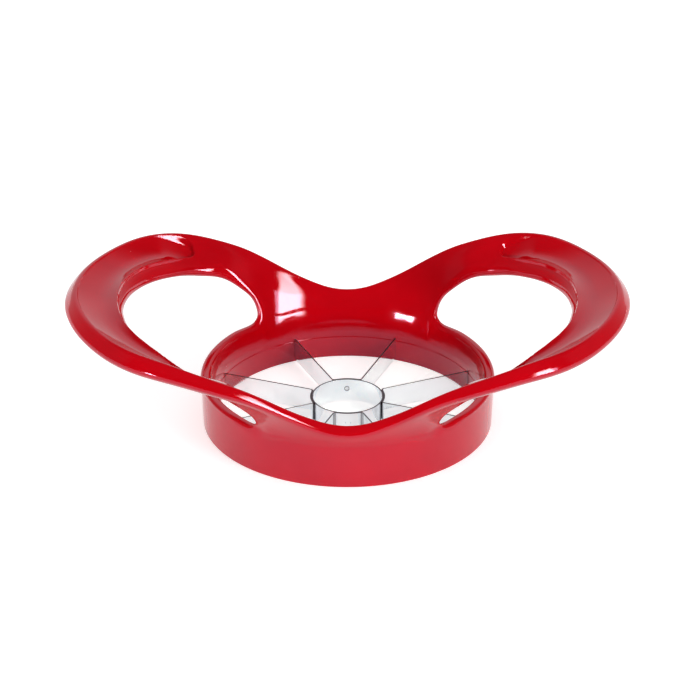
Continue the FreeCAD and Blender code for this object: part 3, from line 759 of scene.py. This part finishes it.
def gloss_red():
    """Deep red glossy plastic, with faint mottling, a little haze and a few specks of dust."""
    material, tree, shader = new_material("moulding_red")
    place = node(tree, "ShaderNodeTexCoord").outputs["Object"]
    mottle = ranged(tree, noise(tree, place, scale=45, detail=3), (0.35, 0.65))
    cells = node(tree, "ShaderNodeTexVoronoi", {"Vector": place, "Scale": 160, "Randomness": 1})
    speck = ranged(tree, cells.outputs["Distance"], (0.02, 0.035), (1, 0))
    few = ranged(tree, noise(tree, place, scale=70, detail=1), (0.6, 0.62), (0, 0.55))
    dust = calculated(tree, "MULTIPLY", speck, few)
    colour = blended(tree, dust, blended(tree, mottle, RED_DEEP, RED), DUST)
    haze = ranged(tree, noise(tree, place, scale=120, detail=4, roughness=0.6), (0.3, 0.75), RED_ROUGHNESS)
    fill(tree, shader, {"Base Color": colour, "Roughness": haze, "IOR": RED_IOR, "Specular Tint": RED_SHINE})
    bumped(tree, shader, noise(tree, place, scale=260, detail=2), distance=0.00001, strength=0.5)
    return material


def rolled_steel(name, tint, grain, roughness, shade_stripes=()):
    """Bright sheet steel: fine grain along the sheet, smudges and dull grey edges where it was sheared.

    Each stripe of painted shade, greyed like the sheared edges: millimetres along the sheet, then the values
    of BEND_SHADE."""
    material, tree, shader = new_material(name)
    sheet = node(tree, "ShaderNodeUVMap", uv_map="sheet").outputs["UV"]
    place = node(tree, "ShaderNodeTexCoord").outputs["Object"]
    stretched = node(tree, "ShaderNodeMapping", {"Vector": sheet, "Scale": grain}).outputs["Vector"]
    lines = noise(tree, stretched, scale=1, detail=5, roughness=0.65)
    smudge = noise(tree, place, scale=90, detail=4, roughness=0.6)
    bright = blended(tree, ranged(tree, lines, (0.3, 0.7)), tuple(c * GRAIN_SHADE for c in tint), tint)
    dull = blended(tree, ranged(tree, smudge, (0.48, 0.7), (0, 0.7)), bright,
                   tuple(c * SMUDGE_SHADE for c in tint))
    at = node(tree, "ShaderNodeSeparateXYZ", {0: sheet}).outputs
    sheared = ranged(tree, at["Y"], (BLADE_TOP - EDGE_BREAK, BLADE_TOP - EDGE_BREAK / 2))
    run = calculated(tree, "MODULO", at["X"], STRIP_PITCH)
    dark = sheared
    # Stripes of painted shade: a dark reflection in each bend, and shadow where the blade goes into the
    # plastic.
    for middle, half, soft, darkness in shade_stripes:
        gap = calculated(tree, "ABSOLUTE", calculated(tree, "SUBTRACT", run, middle))
        dark = calculated(tree, "MAXIMUM", dark, ranged(tree, gap, (half, half + soft), (darkness, 0)))
    rough = calculated(tree, "ADD", ranged(tree, smudge, (0.35, 0.75), roughness),
                       calculated(tree, "MULTIPLY", sheared, EDGE_ROUGHER))
    fill(tree, shader, {"Base Color": blended(tree, dark, dull, EDGE_AND_SHADE_GREY), "Roughness": rough,
                        "Metallic": 1.0, "Anisotropic": 0.35})
    bumped(tree, shader, lines, distance=0.000003, strength=0.3)
    return material


def blade_shade_stripes():
    """The stripes of painted shade on a blade strip: a painted dark reflection in its two bends, and a
    painted shadow where its ends go into the plastic.
    """
    length = strip_path()[2]
    bend, joint = length[WING_STEPS + BEND_STEPS // 2], BLADE_END - BAND_RADIUS + JOINT_GAP
    return [(at, *stripe_shade) for near, stripe_shade in ((bend, BEND_SHADE), (joint, JOINT_SHADOW))
            for at in (near, length[-1] - near)]


def weld_metal():
    """Fused steel: a bright middle in a dark ring with a straw and blue heat tint."""
    material, tree, shader = new_material("weld_metal")
    place = node(tree, "ShaderNodeTexCoord").outputs["Object"]
    sheet = node(tree, "ShaderNodeUVMap", uv_map="sheet").outputs["UV"]
    from_middle = node(tree, "ShaderNodeSeparateXYZ", {0: sheet}).outputs["X"]
    heat = noise(tree, place, scale=900, detail=3)
    ring = blended(tree, ranged(tree, heat, (0.35, 0.65)), WELD_STRAW, WELD_BLUE)
    colour = blended(tree, ranged(tree, from_middle, WELD_RING), WELD_BRIGHT, ring)
    roughness = ranged(tree, heat, (0.3, 0.7), WELD_ROUGHNESS)
    fill(tree, shader, {"Base Color": colour, "Roughness": roughness, "Metallic": 1.0})
    bumped(tree, shader, heat, distance=0.00002, strength=0.6)
    return material


# ---------------------------------------------------------------- the object
def settle(piece, material, node_name):
    """Finish a piece: its material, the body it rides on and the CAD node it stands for."""
    piece.data.materials.append(material)
    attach(piece, "root")
    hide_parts(node_name)


def build():
    """Make every piece of the slicer."""
    settle(mesh_object("moulding", *whole_moulding()), gloss_red(), "frame_moulding")
    blade_steel = rolled_steel("blade_steel", BLADE_TINT, BLADE_GRAIN, BLADE_ROUGHNESS, blade_shade_stripes())
    fused = weld_metal()
    for side, degrees in SIDES.items():
        settle(blade_strip(side, degrees), blade_steel, f"blade_strip_{side}")
        settle(spot_weld(side, degrees), fused, "spot_welds")
    core_steel = rolled_steel("core_steel", CORE_TINT, CORE_GRAIN, CORE_ROUGHNESS)
    settle(core_tube(), core_steel, "core_tube")


# ---------------------------------------------------------------- studio
FLOOR_HALF = 8.0
FLOOR_LOW, FLOOR_HIGH = (0.82, 0.85, 0.85), (0.86, 0.89, 0.89)
FLOOR_GLOW = 0.56           # makes the floor read as white, and only to the camera and to reflections
# Brightness of the studio in reflections: a pale wall behind the object, brightest in the middle, darkness
# in front, and a dim ceiling.
WALL_MIDDLE, WALL_SIDES, DARK_FRONT, CEILING = 0.88, 0.14, 0.02, 0.05
# Cosines of the angle from straight back between which the wall begins, and between which it brightens.
WALL_FROM, WALL_BRIGHT, WALL_POWER = (-0.3, -0.12), (0.17, 1.0), 2.5
CEILING_FROM = (0.62, 0.76)         # sines of the angle up between which the wall gives way to the ceiling
# Panes of light: degrees to the right of straight back, then tangents of the angles sideways and up, softness
# of the two upright sides, brightness.
PANES = [(134, -0.10, 0.21, 0.06, 0.76, 0.02, 0.05, 25), (-136, -0.08, 0.09, 0.01, 0.13, 0.02, 0.02, 16)]
PANE_ENDS = (0.02, 0.05)            # softness of the lower and the upper end of a pane
PANE_COLOUR = (1.0, 1.0, 0.74)      # answers the tint of the plastic's shine
ROOM_FADE, ROOM_LIGHT = (0.1, 0.8), (0.50, 0.72)    # light of the room, by the sine of the angle up
# Degrees to the right of straight back and up, width and height in metres, watts.
LAMPS = {
    "front_right": (134, 18, 0.90, 1.30, 28),
    "front_left": (-136, 4, 0.45, 0.24, 20),
}
LAMP_DISTANCE = 2.5
LAMP_AIM = Vector((0, 0, 0.03))


def floor():
    """A wide pale floor that reads as white and keeps the object's shadow."""
    mesh = bpy.data.meshes.new("floor")
    corners = [(x * FLOOR_HALF, y * FLOOR_HALF, 0) for x, y in ((-1, -1), (1, -1), (1, 1), (-1, 1))]
    mesh.from_pydata(corners, [], [(0, 1, 2, 3)])
    piece = bpy.data.objects.new("floor", mesh)
    bpy.context.scene.collection.objects.link(piece)
    material, tree, shader = new_material("floor_white")
    grain = noise(tree, node(tree, "ShaderNodeTexCoord").outputs["Object"], scale=20, detail=2)
    path = node(tree, "ShaderNodeLightPath").outputs
    seen = calculated(tree, "MAXIMUM", path["Is Camera Ray"], path["Is Glossy Ray"])
    fill(tree, shader, {"Base Color": blended(tree, grain, FLOOR_LOW, FLOOR_HIGH), "Roughness": 0.9,
                        "Specular IOR Level": 0.1, "Emission Color": (1, 1, 1),
                        "Emission Strength": calculated(tree, "MULTIPLY", seen, FLOOR_GLOW)})
    mesh.materials.append(material)


def along(tree, way, direction):
    """How far a direction points along another one."""
    made = node(tree, "ShaderNodeVectorMath", {0: way, 1: direction}, operation="DOT_PRODUCT")
    return made.outputs["Value"]


def between(tree, value, low, high, soft_low, soft_high):
    """1 between low and high, with soft ends."""
    rise = ranged(tree, value, (low - soft_low, low + soft_low))
    fall = ranged(tree, value, (high - soft_high, high + soft_high), (1, 0))
    return calculated(tree, "MULTIPLY", rise, fall)


def pane(tree, way, azimuth, left, right, low, high, soft_left, soft_right, brightness):
    """Brightness of a pane of light in each direction."""
    turn = math.radians(azimuth)
    ahead = along(tree, way, (math.sin(turn), math.cos(turn), 0))
    aside = along(tree, way, (math.cos(turn), -math.sin(turn), 0))
    up = along(tree, way, (0, 0, 1))
    across = between(tree, calculated(tree, "DIVIDE", aside, ahead), left, right, soft_left, soft_right)
    rise = between(tree, calculated(tree, "DIVIDE", up, ahead), low, high, *PANE_ENDS)
    in_front = calculated(tree, "GREATER_THAN", ahead, 0.0)
    seen = calculated(tree, "MULTIPLY", calculated(tree, "MULTIPLY", across, rise), in_front)
    return calculated(tree, "MULTIPLY", seen, brightness)


def studio_walls(tree, way, up):
    """Brightness of the studio's wall and ceiling in each direction."""
    # A little over 1, so that the root is never of a number below 0.
    rest = calculated(tree, "SUBTRACT", 1.0001, calculated(tree, "MULTIPLY", up, up))
    flat = calculated(tree, "SQRT", rest)
    behind = calculated(tree, "DIVIDE", along(tree, way, (0, 1, 0)), flat)
    sides = ranged(tree, behind, WALL_FROM, (DARK_FRONT, WALL_SIDES))
    middle = calculated(tree, "POWER", ranged(tree, behind, WALL_BRIGHT), WALL_POWER)
    wall = calculated(tree, "MULTIPLY_ADD", middle, WALL_MIDDLE - WALL_SIDES, sides)
    return chosen(tree, ranged(tree, up, CEILING_FROM), wall, CEILING)


def world():
    """White to the camera, a studio with panes of light to reflections, a plain room to everything else."""
    made = bpy.data.worlds.new("studio")
    bpy.context.scene.world = made
    made.use_nodes = True
    tree = made.node_tree
    way = node(tree, "ShaderNodeTexCoord").outputs["Generated"]
    up = along(tree, way, (0, 0, 1))
    shine = calculated(tree, "ADD", *(pane(tree, way, *settings) for settings in PANES))
    mirrored = calculated(tree, "ADD", studio_walls(tree, way, up), shine)
    path = node(tree, "ShaderNodeLightPath").outputs
    strength = chosen(tree, path["Is Glossy Ray"], ranged(tree, up, ROOM_FADE, ROOM_LIGHT), mirrored)
    strength = chosen(tree, path["Is Camera Ray"], strength, 1.0)
    in_pane = calculated(tree, "MULTIPLY", ranged(tree, shine, (0, 1)), path["Is Glossy Ray"])
    colour = blended(tree, in_pane, (1.0, 1.0, 1.0), PANE_COLOUR)
    fill(tree, tree.nodes["Background"], {"Strength": strength, "Color": colour})


def lights():
    """Two soft boxes in front, which the camera doesn't see."""
    for name, (azimuth, elevation, width, height, power) in LAMPS.items():
        turn, lift = math.radians(azimuth), math.radians(elevation)
        ahead = Vector((math.sin(turn) * math.cos(lift), math.cos(turn) * math.cos(lift), math.sin(lift)))
        lamp = bpy.data.lights.new(name, "AREA")
        lamp.shape = "RECTANGLE"
        lamp.size, lamp.size_y = width, height
        lamp.energy = power
        made = bpy.data.objects.new(name, lamp)
        made.location = ahead * LAMP_DISTANCE
        made.rotation_euler = (LAMP_AIM - made.location).to_track_quat("-Z", "Y").to_euler()
        made.visible_camera = False
        bpy.context.scene.collection.objects.link(made)


CAMERA_ELEVATION = math.radians(27.94)
CAMERA_ROLL = math.radians(-0.08)
CAMERA_DISTANCE = 3.4619
CAMERA_SHIFT = (2.58, 27.06)        # millimetres that the origin lies right of and below the picture's middle
FOCAL_PIXELS, PICTURE = 10000, 680
SENSOR = 36


def camera():
    """A long lens at the height and distance that give the object's outline."""
    data = bpy.data.cameras.new("camera")
    data.sensor_width = SENSOR
    data.lens = SENSOR * FOCAL_PIXELS / PICTURE
    data.clip_end = 100
    made = bpy.data.objects.new("camera", data)
    tilt = Matrix.Rotation(math.pi / 2 - CAMERA_ELEVATION, 3, "X")
    turn = tilt @ Matrix.Rotation(CAMERA_ROLL, 3, "Z")
    across, down = (v * MM for v in CAMERA_SHIFT)
    made.location = tilt @ Vector((-across, down, CAMERA_DISTANCE))
    made.rotation_euler = turn.to_euler()
    bpy.context.scene.collection.objects.link(made)
    bpy.context.scene.camera = made


build()
floor()
world()
lights()
camera()
bpy.context.scene.view_settings.view_transform = "Standard"
